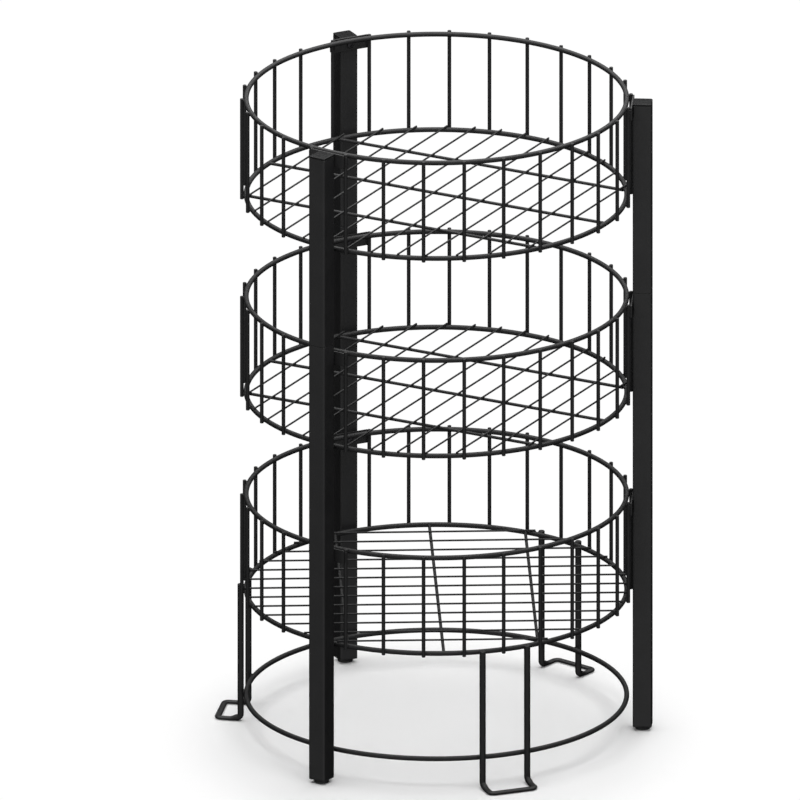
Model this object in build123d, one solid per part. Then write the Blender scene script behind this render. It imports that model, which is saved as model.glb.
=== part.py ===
from build123d import *

import os
from math import cos, radians, sin, sqrt

# A three-tier round wire-basket display rack in black powder-coated steel. Millimetres, +Z up.
# The origin is where the rack's vertical axis meets the floor, and +X points at the right-hand post.
# Angles are in degrees about the axis, counter-clockwise from +X. Radial distances are from the axis.

# Baskets: two rings joined by upright side wires, over a floor mesh that lies on three ribs.
TIERS = ("bottom", "middle", "top")
FIRST_RING_Z = 225.0
TIER_PITCH = 331.0
BASKET_HEIGHT = 160.0  # from the lower ring's centreline to the upper ring's
RING_RADIUS = 300.0  # centreline
RING_WIRE = 8.0
SIDE_WIRE = 6.0
SIDE_WIRE_COUNT = 30
SIDE_WIRE_START = 6.0
FLOOR_WIRE = 3.0
FLOOR_WIRE_PITCH = 42.0
FLOOR_WIRES_EACH_SIDE = 6  # of the middle wire
FLOOR_WIRE_END_RADIUS = 303.0
FLOOR_ANGLES = {"bottom": 6.0, "middle": 66.0, "top": 66.0}  # the way the floor wires run
RIB_WIRE = 5.0
RIB_OFFSETS = (-150.0, 0.0, 150.0)
TOUCH_GAP = 0.02  # left between wires that are welded together

# Posts: square tube in two sections, joined by a spigot, with a cap on top and a foot below.
POST_ANGLES = {"right": 0.0, "back": 120.0, "front": 240.0}
TUBE = 30.0
TUBE_WALL = 2.0
TUBE_CORNER = 3.0
POST_SPLIT_Z = 733.0
POST_TOP_Z = 1047.0
SPIGOT_HALF = 50.0  # length in each section
SPIGOT_WALL = 2.0
SPIGOT_BORE_CORNER = 0.5
SPIGOT_PLAY = 0.2  # each side, in the upper section only
SPIGOT_LEAD_IN = 1.0
CAP_HEAD = 3.0
CAP_EDGE = 0.8
CAP_STUB = 14.0
CAP_STUB_WALL = 2.2
CAP_NOTCH_ROOM = 1.5  # each side of the rivet nut

# Bracket plates: each upper ring hangs from one plate per post, welded across two side wires.
PLATE_LENGTH = 64.0
PLATE_HEIGHT = 22.0
PLATE_THICK = 2.5
PLATE_TOP_OVER_RING = 3.0
PLATE_CORNER = 2.0
SCREW_UNDER_RING = 10.0
SCREW_RADIUS = 3.0
SCREW_LENGTH = 16.0
SCREW_HEAD_RADIUS = 5.25
SCREW_HEAD_HEIGHT = 3.0
SCREW_HEAD_FILLET = 2.1
SCREW_SOCKET = 4.0  # across flats
SCREW_SOCKET_DEPTH = 1.8
SCREW_HOLE_RADIUS = 3.25  # in the plate
NUT_BODY_RADIUS = 4.5
NUT_BULGE_RADIUS = 6.25
NUT_BULGE = 2.5
NUT_TAIL = 8.0  # past the bulge
THREAD_PLAY = 0.02  # radial, between the threads' simplified cylinders
CUT_PAST = 1.0  # how far a cutting shape runs past the face it opens

# Feet: a threaded plug in the tube's end, a stud through it and a round pad on the stud's head.
PAD_RADIUS = 12.0
PAD_TOP_RADIUS = 9.5
PAD_HEIGHT = 6.0
PAD_SKIRT = 3.0
STUD_RADIUS = 4.0
STUD_TOP_Z = 36.0
STUD_HEAD_RADIUS = 6.5
STUD_HEAD_Z = 1.5
STUD_HEAD_HEIGHT = 2.5
STUD_PLAY = 0.05  # all round the stud in its pad
INSERT_RIM = 1.5
INSERT_DEPTH = 26.0

# Legs: one bent rod each, two uprights and a loop that lies on the floor, pressed flatter than the rod.
LEG_ANGLES = {"front": -65.6, "back": 54.4, "left": 174.4}
LEG_ROD = 10.0
LEG_WIDTH = 75.0  # between the uprights' centrelines
LEG_REACH = 37.5  # how far the loop stands out from the uprights
LEG_KNEE = 6.5  # centreline radius of the bend at an upright's foot
LEG_ROUND_END = 8.0  # how far past the uprights' centreline the rod stays round
LEG_FLAT_START = 15.0  # and where it has its pressed section
LOOP_HEIGHT = 6.0  # of the pressed section, which is as wide as the rod
LOOP_CORNER = 7.0
FLOOR_RING_Z = 48.5

SIDE_WIRE_RADIAL = RING_RADIUS + (RING_WIRE + SIDE_WIRE) / 2 + TOUCH_GAP
# A plate lies on the outer sides of the two side wires next to its post.
PLATE_INNER = SIDE_WIRE_RADIAL * cos(radians(SIDE_WIRE_START)) + SIDE_WIRE / 2 + TOUCH_GAP
TUBE_INNER_FACE = PLATE_INNER + PLATE_THICK
POST_RADIAL = TUBE_INNER_FACE + TUBE / 2
TUBE_BORE = TUBE - 2 * TUBE_WALL
TUBE_BORE_CORNER = TUBE_CORNER - TUBE_WALL
TUBE_BOTTOM_Z = PAD_HEIGHT + INSERT_RIM


def ring_z(tier, upper=False):
    """The height of a basket's lower or upper ring."""
    return FIRST_RING_Z + TIERS.index(tier) * TIER_PITCH + (BASKET_HEIGHT if upper else 0.0)


def turned(shape, angle):
    """A shape that was made on the +X side, turned about the rack's axis."""
    return shape.rotate(Axis.Z, angle)


def upright(radius, low, high, x=0.0, y=0.0):
    """A vertical cylinder between two heights."""
    rod = Cylinder(radius, high - low, align=(Align.CENTER, Align.CENTER, Align.MIN))
    return rod.translate((x, y, low))


def outward(radius, start, end, z):
    """A cylinder along +X between two radial distances."""
    rod = Cylinder(radius, end - start, align=(Align.CENTER, Align.CENTER, Align.MIN))
    return rod.rotate(Axis.Y, 90).translate((start, 0, z))


def square_bar(side, corner, low, high):
    """A vertical square bar with rounded corners, on a post's axis."""
    section = Pos(POST_RADIAL, 0, low) * RectangleRounded(side, side, corner)
    return extrude(section, high - low)


def ring(z):
    """A ring of heavy wire round the rack's axis."""
    return Torus(RING_RADIUS, RING_WIRE / 2).translate((0, 0, z))


def side_wires(tier):
    """The upright wires, welded to the outsides of both rings and flush with them."""
    low = ring_z(tier) - RING_WIRE / 2
    high = ring_z(tier, upper=True) + RING_WIRE / 2
    wire = upright(SIDE_WIRE / 2, low, high, x=SIDE_WIRE_RADIAL)
    step = 360.0 / SIDE_WIRE_COUNT
    return [turned(wire, SIDE_WIRE_START + step * i) for i in range(SIDE_WIRE_COUNT)]


def chord_wire(diameter, end_radius, offset, z):
    """A wire along +X at a sideways offset, whose ends stay inside a radius."""
    half = sqrt(end_radius**2 - (abs(offset) + diameter / 2) ** 2)
    return outward(diameter / 2, -half, half, z).translate((0, offset, 0))


def floor_wires(tier):
    """The fine wires that goods stand on, lying on the lower ring and the ribs."""
    z = ring_z(tier) + (RING_WIRE + FLOOR_WIRE) / 2 + TOUCH_GAP
    places = range(-FLOOR_WIRES_EACH_SIDE, FLOOR_WIRES_EACH_SIDE + 1)
    wires = [chord_wire(FLOOR_WIRE, FLOOR_WIRE_END_RADIUS, i * FLOOR_WIRE_PITCH, z) for i in places]
    return [turned(wire, FLOOR_ANGLES[tier]) for wire in wires]


def floor_ribs(tier):
    """The heavier wires under the mesh, across it, flush with the top of the lower ring."""
    z = ring_z(tier) + (RING_WIRE - RIB_WIRE) / 2
    end_radius = RING_RADIUS - RING_WIRE / 2 - TOUCH_GAP
    ribs = [chord_wire(RIB_WIRE, end_radius, offset, z) for offset in RIB_OFFSETS]
    return [turned(rib, FLOOR_ANGLES[tier] + 90.0) for rib in ribs]


def screw_z(tier):
    """The height of the screws that hold a basket to the posts."""
    return ring_z(tier, upper=True) - SCREW_UNDER_RING


def bracket(tier):
    """A flat plate with rounded corners and one screw hole."""
    top = ring_z(tier, upper=True) + PLATE_TOP_OVER_RING
    section = Plane.YZ * RectangleRounded(PLATE_LENGTH, PLATE_HEIGHT, PLATE_CORNER)
    plate = extrude(section, PLATE_THICK).translate((PLATE_INNER, 0, top - PLATE_HEIGHT / 2))
    start = PLATE_INNER - CUT_PAST
    return plate - outward(SCREW_HOLE_RADIUS, start, TUBE_INNER_FACE + CUT_PAST, screw_z(tier))


def screw(tier):
    """A button-head socket screw through the plate into the post."""
    z = screw_z(tier)
    head = outward(SCREW_HEAD_RADIUS, PLATE_INNER - SCREW_HEAD_HEIGHT, PLATE_INNER, z)
    crown = head.edges().filter_by(GeomType.CIRCLE).sort_by(Axis.X)[0]
    head = fillet(crown, SCREW_HEAD_FILLET)
    shank = outward(SCREW_RADIUS, PLATE_INNER, PLATE_INNER + SCREW_LENGTH, z)
    section = Plane.YZ * RegularPolygon(SCREW_SOCKET / 2, 6, major_radius=False)
    socket = extrude(section, SCREW_SOCKET_DEPTH + CUT_PAST)
    mouth = PLATE_INNER - SCREW_HEAD_HEIGHT - CUT_PAST
    return head + shank - socket.translate((mouth, 0, z))


def grip(tier):
    """How much wall a rivet nut holds: the middle basket's also goes through the spigot's."""
    return TUBE_WALL + (SPIGOT_WALL if tier == "middle" else 0.0)


def rivet_nut(tier):
    """A flush rivet nut: a sleeve in the wall, upset into a bulge behind it."""
    z = screw_z(tier)
    behind = TUBE_INNER_FACE + grip(tier)
    end = behind + NUT_BULGE + NUT_TAIL
    sleeve = outward(NUT_BODY_RADIUS, TUBE_INNER_FACE, end, z)
    bulge = outward(NUT_BULGE_RADIUS, behind, behind + NUT_BULGE, z)
    thread = outward(SCREW_RADIUS + THREAD_PLAY, TUBE_INNER_FACE - CUT_PAST, end + CUT_PAST, z)
    return sleeve + bulge - thread


def nut_hole(tier):
    """The hole that a rivet nut fills, in the wall or walls that it holds."""
    start = TUBE_INNER_FACE - CUT_PAST
    return outward(NUT_BODY_RADIUS, start, TUBE_INNER_FACE + grip(tier), screw_z(tier))


def tube(low, high):
    """A length of post tube, open at both ends."""
    bore = square_bar(TUBE_BORE, TUBE_BORE_CORNER, low - CUT_PAST, high + CUT_PAST)
    return square_bar(TUBE, TUBE_CORNER, low, high) - bore


def lower_post():
    """The section from the foot to the joint, holed for two baskets' rivet nuts."""
    return tube(TUBE_BOTTOM_Z, POST_SPLIT_Z) - nut_hole("bottom") - nut_hole("middle")


def upper_post():
    """The section above the joint, holed for the top basket's rivet nut."""
    return tube(POST_SPLIT_Z, POST_TOP_Z) - nut_hole("top")


def spigot():
    """A hollow square plug, tight in the lower section and sliding in the upper one."""
    low = POST_SPLIT_Z - SPIGOT_HALF
    high = POST_SPLIT_Z + SPIGOT_HALF
    slim = TUBE_BORE - 2 * SPIGOT_PLAY
    tongue = square_bar(slim, TUBE_BORE_CORNER, POST_SPLIT_Z, high)
    tongue = chamfer(tongue.faces().sort_by(Axis.Z)[-1].edges(), SPIGOT_LEAD_IN)
    plug = square_bar(TUBE_BORE, TUBE_BORE_CORNER, low, POST_SPLIT_Z) + tongue
    hollow = TUBE_BORE - 2 * SPIGOT_WALL
    core = square_bar(hollow, SPIGOT_BORE_CORNER, low - CUT_PAST, high + CUT_PAST)
    return plug - core - nut_hole("middle")


def post_cap():
    """A moulded cap whose stub is notched to clear the top basket's rivet nut."""
    head = square_bar(TUBE, TUBE_CORNER, POST_TOP_Z, POST_TOP_Z + CAP_HEAD)
    head = chamfer(head.faces().sort_by(Axis.Z)[-1].edges(), CAP_EDGE)
    stub_low = POST_TOP_Z - CAP_STUB
    hollow = TUBE_BORE - 2 * CAP_STUB_WALL
    stub = square_bar(TUBE_BORE, TUBE_BORE_CORNER, stub_low, POST_TOP_Z)
    stub -= square_bar(hollow, TUBE_BORE_CORNER, stub_low - CUT_PAST, POST_TOP_Z)
    notch = Box(TUBE / 2, 2 * (NUT_BULGE_RADIUS + CAP_NOTCH_ROOM), CAP_STUB)
    return head + (stub - notch.translate((TUBE_INNER_FACE, 0, POST_TOP_Z - CAP_STUB / 2)))


def foot_insert():
    """A square threaded plug in the tube's lower end, with a rim under the tube."""
    rim = square_bar(TUBE, TUBE_CORNER, PAD_HEIGHT, TUBE_BOTTOM_Z)
    plug = square_bar(TUBE_BORE, TUBE_BORE_CORNER, TUBE_BOTTOM_Z, TUBE_BOTTOM_Z + INSERT_DEPTH)
    low = PAD_HEIGHT - CUT_PAST
    high = TUBE_BOTTOM_Z + INSERT_DEPTH + CUT_PAST
    return rim + plug - upright(STUD_RADIUS + THREAD_PLAY, low, high, x=POST_RADIAL)


def foot_stud():
    """A threaded stud with a flat round head."""
    head_top = STUD_HEAD_Z + STUD_HEAD_HEIGHT
    head = upright(STUD_HEAD_RADIUS, STUD_HEAD_Z, head_top, x=POST_RADIAL)
    return head + upright(STUD_RADIUS, head_top, STUD_TOP_Z, x=POST_RADIAL)


def foot_pad():
    """A round pad that snaps over the stud's head and doesn't turn with it."""
    skirt = upright(PAD_RADIUS, 0, PAD_SKIRT, x=POST_RADIAL)
    rise = PAD_HEIGHT - PAD_SKIRT
    crown = Cone(PAD_RADIUS, PAD_TOP_RADIUS, rise, align=(Align.CENTER, Align.CENTER, Align.MIN))
    crown = crown.translate((POST_RADIAL, 0, PAD_SKIRT))
    pocket_top = STUD_HEAD_Z + STUD_HEAD_HEIGHT + STUD_PLAY
    pocket = upright(STUD_HEAD_RADIUS + STUD_PLAY, STUD_HEAD_Z - STUD_PLAY, pocket_top, x=POST_RADIAL)
    neck = upright(STUD_RADIUS + STUD_PLAY, pocket_top, PAD_HEIGHT + CUT_PAST, x=POST_RADIAL)
    return skirt + crown - pocket - neck


def across(x, y, z):
    """The plane of a leg's section at a point where the rod runs outwards."""
    return Plane(origin=(x, y, z), x_dir=(0, 1, 0), z_dir=(1, 0, 0))


def leg():
    """One rod: up the outside of the two rings, and round a pressed loop on the floor."""
    from_axis = RING_RADIUS + (RING_WIRE + LEG_ROD) / 2 + TOUCH_GAP
    side = LEG_WIDTH / 2
    inner = sqrt(from_axis**2 - side**2)
    outer = inner + LEG_REACH
    round_end = inner + LEG_ROUND_END
    flat_start = inner + LEG_FLAT_START
    top = (inner, -side, FIRST_RING_Z + RING_WIRE / 2)
    rod = LEG_ROD / 2
    flat = LOOP_HEIGHT / 2

    bend = FilletPolyline(top, (inner, -side, rod), (round_end, -side, rod), radius=LEG_KNEE)
    upright_rod = sweep(Plane(origin=top, z_dir=(0, 0, -1)) * Circle(rod), path=bend)
    round_section = across(round_end, -side, rod) * Circle(rod)
    flat_section = across(flat_start, -side, flat) * Ellipse(rod, flat)
    shoulder = loft([round_section, flat_section])
    corners = [(flat_start, -side, flat), (outer, -side, flat), (outer, side, flat), (flat_start, side, flat)]
    loop = sweep(flat_section, path=FilletPolyline(*corners, radius=LOOP_CORNER))
    half = upright_rod + shoulder
    return half + loop + half.mirror(Plane.XZ)


def save(name, shapes):
    """Write one node: a single solid, or a group of separate ones."""
    solids = [solid for shape in shapes for solid in shape.solids()]
    node = solids[0] if len(solids) == 1 else Compound(children=solids)
    node.label = name
    export_step(node, f"parts/{name}.step")
    print(name, len(solids))


def at_each_post(shape):
    """Copies, one for each post, of a piece made at the right-hand one."""
    return [turned(shape, angle) for angle in POST_ANGLES.values()]


def save_at_each_post(name, shape):
    """Write one node for each post from the piece made at the right-hand one."""
    for side, copy in zip(POST_ANGLES, at_each_post(shape)):
        save(f"{name}_{side}", [copy])


def main():
    os.makedirs("parts", exist_ok=True)
    for tier in TIERS:
        save(f"{tier}_lower_ring", [ring(ring_z(tier))])
        save(f"{tier}_upper_ring", [ring(ring_z(tier, upper=True))])
        save(f"{tier}_side_wires", side_wires(tier))
        save(f"{tier}_floor_wires", floor_wires(tier))
        save(f"{tier}_floor_ribs", floor_ribs(tier))
        save(f"{tier}_brackets", at_each_post(bracket(tier)))
        save(f"{tier}_screws", at_each_post(screw(tier)))
        save(f"{tier}_rivet_nuts", at_each_post(rivet_nut(tier)))
    save_at_each_post("lower_post", lower_post())
    save_at_each_post("upper_post", upper_post())
    save_at_each_post("post_spigot", spigot())
    save_at_each_post("post_cap", post_cap())
    save_at_each_post("foot_insert", foot_insert())
    save_at_each_post("foot_stud", foot_stud())
    save_at_each_post("foot_pad", foot_pad())
    save("floor_ring", [ring(FLOOR_RING_Z)])
    for place, angle in LEG_ANGLES.items():
        save(f"leg_{place}", [turned(leg(), angle)])


main()
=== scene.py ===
import math
import random

import bmesh
import bpy
from mathutils import Matrix, Vector
from mathutils.noise import noise


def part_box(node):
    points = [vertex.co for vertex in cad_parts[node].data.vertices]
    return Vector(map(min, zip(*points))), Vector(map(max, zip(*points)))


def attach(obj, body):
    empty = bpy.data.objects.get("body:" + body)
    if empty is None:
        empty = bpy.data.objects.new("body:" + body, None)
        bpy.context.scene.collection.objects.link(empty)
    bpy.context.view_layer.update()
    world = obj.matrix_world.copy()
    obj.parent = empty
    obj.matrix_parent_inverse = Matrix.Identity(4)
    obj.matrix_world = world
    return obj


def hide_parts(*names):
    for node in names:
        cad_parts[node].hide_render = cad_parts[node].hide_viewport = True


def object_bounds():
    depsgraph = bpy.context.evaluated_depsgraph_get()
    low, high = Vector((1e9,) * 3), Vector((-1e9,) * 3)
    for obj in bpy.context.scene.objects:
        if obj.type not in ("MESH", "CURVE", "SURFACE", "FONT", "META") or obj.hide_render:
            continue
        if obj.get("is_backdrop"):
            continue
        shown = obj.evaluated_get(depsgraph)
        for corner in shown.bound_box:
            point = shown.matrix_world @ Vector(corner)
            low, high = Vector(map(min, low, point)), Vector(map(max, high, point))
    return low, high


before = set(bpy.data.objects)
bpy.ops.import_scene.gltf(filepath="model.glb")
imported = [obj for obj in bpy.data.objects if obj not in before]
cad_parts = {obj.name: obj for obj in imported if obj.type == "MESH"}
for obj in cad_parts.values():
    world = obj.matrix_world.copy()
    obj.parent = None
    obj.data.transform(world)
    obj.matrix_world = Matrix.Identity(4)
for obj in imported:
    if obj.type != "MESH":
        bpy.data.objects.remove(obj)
cad_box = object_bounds()

MM = 0.001
TIERS = ("bottom", "middle", "top")
SIDES = ("right", "back", "front")
LEGS = ("front", "back", "left")
UP = Vector((0, 0, 1))
SAME_POINT = 1e-7  # corners this close are one corner
AT_THE_TOP = 1e-5  # corners this close to a node's top are on it

# ---------------------------------------------------------------- reading the frame


def solids(node):
    """The separate solids of a CAD node, each as a list of its vertices."""
    bm = bmesh.new()
    bm.from_mesh(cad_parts[node].data)
    bmesh.ops.remove_doubles(bm, verts=bm.verts, dist=SAME_POINT)
    left = set(bm.verts)
    groups = []
    for first in bm.verts:
        if first not in left:
            continue
        left.remove(first)
        stack = [first]
        group = []
        while stack:
            vert = stack.pop()
            group.append(vert.co.copy())
            near = [e.other_vert(vert) for e in vert.link_edges]
            fresh = [v for v in near if v in left]
            left.difference_update(fresh)
            stack.extend(fresh)
        groups.append(group)
    bm.free()
    return sorted(groups, key=lambda g: (round(middle(g).x, 5), round(middle(g).y, 5)))


def middle(points):
    low = Vector(min(p[i] for p in points) for i in range(3))
    high = Vector(max(p[i] for p in points) for i in range(3))
    return (low + high) / 2


WIRE_TIP = 0.98  # past this share of its half length a wire's corners belong to its end
WIRE_TRIES = 4  # how often the wire's direction is read again from its end


def straight_wires(node):
    """(start, end, radius) of each straight round wire in a CAD node."""
    found = []
    for points in solids(node):
        centre = middle(points)
        far = max(points, key=lambda p: (p - centre).length) - centre
        along = far.normalized()
        for _ in range(WIRE_TRIES):
            tip = [p for p in points if (p - centre).dot(along) > WIRE_TIP * far.length]
            along = (middle(tip) - centre).normalized()
        half = max((p - centre).dot(along) for p in points)
        radius = max(((p - centre) - along * (p - centre).dot(along)).length for p in points)
        found.append((centre - along * half, centre + along * half, radius))
    return found


class RingWire:
    """A round ring's sizes, from its CAD node's box."""

    def __init__(self, node):
        low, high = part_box(node)
        self.node = node
        self.z = (low.z + high.z) / 2
        self.wire = (high.z - low.z) / 2
        self.radius = max(high.x, -low.x, high.y, -low.y) - self.wire


class Side:
    """A direction out from the rack's axis. Its points are (out, along, up)."""

    def __init__(self, angle):
        self.out = Vector((math.cos(angle), math.sin(angle), 0))
        self.along = Vector((-math.sin(angle), math.cos(angle), 0))

    def at(self, out, along, up):
        return self.out * out + self.along * along + Vector((0, 0, up))


def angle_of(node):
    low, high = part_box(node)
    return math.atan2(low.y + high.y, low.x + high.x)


# ---------------------------------------------------------------- making meshes


class Shape:
    """Points and faces gathered into one mesh."""

    def __init__(self):
        self.points = []
        self.faces = []

    def loft(self, rings, loop=False):
        """Skins a row of rings that have equal counts. It is closed by end caps, or into a loop."""
        first = len(self.points)
        count = len(rings[0])
        for ring in rings:
            self.points.extend(ring)
        steps = len(rings) if loop else len(rings) - 1
        for i in range(steps):
            a = first + i * count
            b = first + (i + 1) % len(rings) * count
            for j in range(count):
                k = (j + 1) % count
                self.faces.append((a + j, a + k, b + k, b + j))
        if not loop:
            last = first + (len(rings) - 1) * count
            self.faces.append(tuple(first + j for j in reversed(range(count))))
            self.faces.append(tuple(last + j for j in range(count)))

    def piece(self, name, body, slot, replaced=(), sharp=35.0, look=None):
        """Turns the shape into a piece that rides on a body and stands for CAD nodes.

        Edges bent by more than sharp degrees stay crisp. The material is the slot's, or look's.
        """
        mesh = bpy.data.meshes.new(name)
        mesh.from_pydata(self.points, [], self.faces)
        mesh.update()
        bm = bmesh.new()
        bm.from_mesh(mesh)
        bmesh.ops.recalc_face_normals(bm, faces=bm.faces)
        bm.to_mesh(mesh)
        bm.free()
        mesh.shade_smooth()
        mesh.set_sharp_from_angle(angle=math.radians(sharp))
        mesh.materials.append(MATERIALS[look or slot])
        obj = bpy.data.objects.new(name, mesh)
        bpy.context.scene.collection.objects.link(obj)
        even = obj.modifiers.new("even_shading", "WEIGHTED_NORMAL")
        even.keep_sharp = True
        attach(obj, body)
        if replaced:
            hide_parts(*replaced)


def cross_axes(along):
    """Two unit vectors square to a direction and to each other."""
    other = UP if abs(along.z) < 0.9 else Vector((1, 0, 0))
    u = along.cross(other).normalized()
    return u, along.cross(u).normalized()


def turns(count):
    """Evenly spaced angles round a circle."""
    return [2 * math.pi * i / count for i in range(count)]


def circle(centre, u, v, radius, sides):
    return [centre + (u * math.cos(a) + v * math.sin(a)) * radius for a in turns(sides)]


def add_rod(shape, start, end, radius, sides, bevel):
    """A straight round bar whose cut ends have a small bevel, rounded in two steps."""
    along = (end - start).normalized()
    u, v = cross_axes(along)
    length = (end - start).length
    stations = ((0, radius - bevel), (bevel * 0.4, radius - bevel * 0.3), (bevel, radius))
    rings = [circle(start + along * d, u, v, r, sides) for d, r in stations]
    rings += [circle(start + along * (length - d), u, v, r, sides) for d, r in reversed(stations)]
    shape.loft(rings)


def tangents_of(path):
    """The direction of a path at each of its points."""
    last = len(path) - 1
    spans = [(path[max(i - 1, 0)], path[min(i + 1, last)]) for i in range(len(path))]
    return [(after - before).normalized() for before, after in spans]


def add_swept(shape, path, radius, sides=24, bevel=0.6 * MM):
    """A round bar along a smooth path, with bevelled ends."""
    tangents = tangents_of(path)
    u, _ = cross_axes(tangents[0])
    rings = [circle(path[0], u, tangents[0].cross(u), radius - bevel, sides)]
    path = [path[0] + tangents[0] * bevel, *path[1:-1], path[-1] - tangents[-1] * bevel]
    for point, tangent in zip(path, tangents):
        u = (u - tangent * u.dot(tangent)).normalized()
        rings.append(circle(point, u, tangent.cross(u), radius, sides))
    end = path[-1] + tangents[-1] * bevel
    rings.append(circle(end, u, tangents[-1].cross(u), radius - bevel, sides))
    shape.loft(rings)


def rounded_bend(corners, radii, steps=10):
    """A path through corner points with each inner corner turned into an arc of its own radius."""
    path = [corners[0]]
    for before, corner, after, radius in zip(corners, corners[1:], corners[2:], radii):
        u, v = (before - corner).normalized(), (after - corner).normalized()
        half = u.angle(v) / 2
        centre = corner + (u + v).normalized() * radius / math.sin(half)
        first = corner + u * radius / math.tan(half) - centre
        last = corner + v * radius / math.tan(half) - centre
        turn = first.angle(last)
        for i in range(steps + 1):
            a = turn * i / steps
            path.append(centre + (first * math.sin(turn - a) + last * math.sin(a)) / math.sin(turn))
    path.append(corners[-1])
    return path


def split_runs(path, longest):
    """The same path with its long straight runs cut into equal steps."""
    fine = [path[0]]
    for a, b in zip(path, path[1:]):
        count = math.ceil((b - a).length / longest)
        fine += [a.lerp(b, i / count) for i in range(1, count + 1)]
    return fine


BEAD_LUMPS = 1.7  # waves of noise for each half width of a bead


def add_bead(shape, centre, axes, sizes, rng, columns=12, rows=7, rough=0.1):
    """A small lump of weld: an uneven ellipsoid."""
    shift = Vector(rng.uniform(-50, 50) for _ in range(3))
    rings = []
    for i in range(1, rows):
        tilt = math.pi * i / rows
        ring = []
        for turn in turns(columns):
            way = (math.sin(tilt) * math.cos(turn), math.sin(tilt) * math.sin(turn), math.cos(tilt))
            swell = 1 + rough * noise(Vector(way) * BEAD_LUMPS + shift)
            ring.append(centre + sum((a * s * w * swell for a, s, w in zip(axes, sizes, way)), Vector()))
        rings.append(ring)
    shape.loft(rings)


SEAM_SIDES = 10
SEAM_RIPPLE = 1.3 * MM  # from one ripple of a weld to the next
SEAM_STEPS = 5  # rings of mesh for each ripple
SEAM_SWELL = 0.13
SEAM_BLUNT = 8  # a higher power rounds its ends off later
SEAM_TIP = 0.03  # the square root of this is the share of the radius left at its ends


def add_seam(shape, start, end, radius, rng):
    """A run of fillet weld: a thin bar with the ripples of its laying and rounded ends."""
    along = (end - start).normalized()
    u, v = cross_axes(along)
    length = (end - start).length
    count = max(8, round(length / SEAM_RIPPLE * SEAM_STEPS))
    phase = rng.uniform(0, 1)
    rings = []
    for i in range(count + 1):
        t = i / count
        wave = 1 + SEAM_SWELL * abs(math.sin(math.pi * (t * length / SEAM_RIPPLE + phase)))
        taper = math.sqrt(max(SEAM_TIP, 1 - (2 * t - 1) ** SEAM_BLUNT))
        rings.append(circle(start + along * length * t, u, v, radius * wave * taper, SEAM_SIDES))
    shape.loft(rings)


CORNER_STEPS = 8


def rounded_outline(width, height, corner):
    """A rounded rectangle about (0, 0), as (x, y) pairs."""
    points = []
    for quarter, (sx, sy) in enumerate(((1, 1), (-1, 1), (-1, -1), (1, -1))):
        for i in range(CORNER_STEPS + 1):
            a = math.pi / 2 * (quarter + i / CORNER_STEPS)
            x = sx * (width / 2 - corner) + corner * math.cos(a)
            y = sy * (height / 2 - corner) + corner * math.sin(a)
            points.append((x, y))
    return points


def round_outline(radius):
    """A circle with the same count and order of points as a rounded rectangle."""
    count = 4 * (CORNER_STEPS + 1)
    start = math.pi / 4 - math.pi * CORNER_STEPS / count
    return [(radius * math.cos(start + a), radius * math.sin(start + a)) for a in turns(count)]


# ---------------------------------------------------------------- materials


class Nodes:
    """An emptied node tree, and short ways to fill it."""

    def __init__(self, tree):
        self.tree = tree
        tree.nodes.clear()

    def add(self, kind, links=(), **values):
        """Adds a node with its values and links. Each value is a property's or an input's."""
        node = self.tree.nodes.new(kind)
        for key, value in values.items():
            if hasattr(node, key):
                setattr(node, key, value)
            else:
                node.inputs[key.replace("_", " ")].default_value = value
        for name, output in dict(links).items():
            self.tree.links.new(output, node.inputs[name])
        return node

    def noise(self, place, scale, detail, roughness):
        values = {"Scale": scale, "Detail": detail, "Roughness": roughness}
        return self.add("ShaderNodeTexNoise", {"Vector": place}, **values).outputs["Fac"]

    def ramp(self, value, low, high, to=(0.0, 1.0), kind="LINEAR"):
        """Maps low and high to the two values of to, and holds those beyond."""
        values = {"From_Min": low, "From_Max": high, "interpolation_type": kind}
        node = self.add("ShaderNodeMapRange", {"Value": value}, **values)
        node.inputs["To Min"].default_value, node.inputs["To Max"].default_value = to
        return node.outputs["Result"]

    def maths(self, operation, first, second):
        return self.add("ShaderNodeMath", {0: first, 1: second}, operation=operation).outputs["Value"]

    def blend(self, share, first, second):
        """A mix of two colours. The first is fixed or comes from another node."""
        node = self.add("ShaderNodeMix", {"Factor": share}, data_type="RGBA")
        if isinstance(first, tuple):
            node.inputs["A"].default_value = (*first, 1)
        else:
            self.tree.links.new(first, node.inputs["A"])
        node.inputs["B"].default_value = (*second, 1)
        return node.outputs[2]


DUST_COLOUR = (0.30, 0.295, 0.285)
STREAKS = (520.0, 520.0, 22.0)  # the noise is drawn out upright, as the scuffs run
BUMP_HEIGHT = 0.6 * MM
COAT_PEEL = 1300.0  # waves per metre in sprayed powder
MOULD_GRAIN = 2600.0  # and in moulded plastic


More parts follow.
